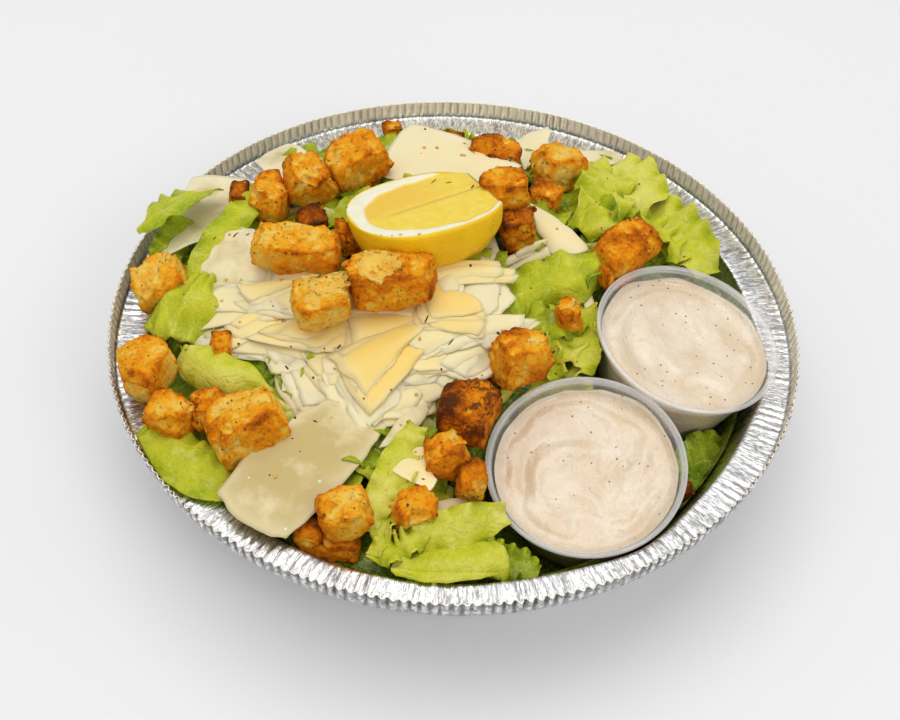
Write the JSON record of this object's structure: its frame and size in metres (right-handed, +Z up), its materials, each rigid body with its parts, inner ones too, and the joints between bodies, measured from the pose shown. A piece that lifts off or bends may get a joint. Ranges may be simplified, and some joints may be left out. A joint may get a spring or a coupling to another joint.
{
  "type": "caesar salad",
  "caption": "Round foil takeaway tray of caesar salad: cut romaine with croutons, thin hard-cheese shavings, a lemon half and open portion cups of dressing.",
  "frame": {"origin": "centre of the tray's underside, on its axis", "axes": "+Z up through the tray's axis; -Y towards the front, where the cups stand to the right of the shavings"},
  "size_m": [0.2282, 0.2282, 0.0824],
  "materials": {
    "foil": "bright crinkled foil",
    "clear_plastic": "clear, glossy",
    "dressing": "creamy, slightly wet, flecked with pepper",
    "lemon": "waxy yellow rind, wet pale flesh",
    "leaf": "fresh leaf, slightly glossy",
    "cheese": "smooth, slightly waxy",
    "toast": "rough toasted crumb"
  },
  "bodies": {
    "root": {"crouton_01": "toast", "crouton_02": "toast", "crouton_03": "toast", "crouton_04": "toast", "crouton_05": "toast", "crouton_06": "toast", "crouton_07": "toast", "crouton_08": "toast", "crouton_09": "toast", "crouton_10": "toast", "crouton_11": "toast", "crouton_12": "toast", "crouton_13": "toast", "crouton_14": "toast", "crouton_15": "toast", "crouton_16": "toast", "crouton_17": "toast", "crouton_18": "toast", "crouton_19": "toast", "crouton_20": "toast", "crouton_21": "toast", "crouton_22": "toast", "crouton_23": "toast", "crouton_24": "toast", "crouton_25": "toast", "crouton_26": "toast", "crouton_27": "toast", "crouton_28": "toast", "crouton_29": "toast", "crouton_30": "toast", "crouton_31": "toast", "crouton_32": "toast", "crouton_33": "toast", "crouton_34": "toast", "cup_far": "clear_plastic", "cup_near": "clear_plastic", "dressing_far": "dressing", "dressing_near": "dressing", "foil_tray": "foil", "lemon_half": "lemon", "lettuce_heap": "leaf", "parmesan_pile": "cheese", "shaving_back": "cheese", "shaving_back_left": "cheese", "shaving_back_right": "cheese", "shaving_front": "cheese", "shaving_front_left": "cheese", "shaving_front_low": "cheese", "shaving_kite": "cheese", "shaving_left": "cheese", "shaving_left_back": "cheese", "shaving_middle": "cheese", "shaving_right": "cheese", "shaving_right_back": "cheese", "shaving_strip": "cheese"}
  },
  "joints": []
}
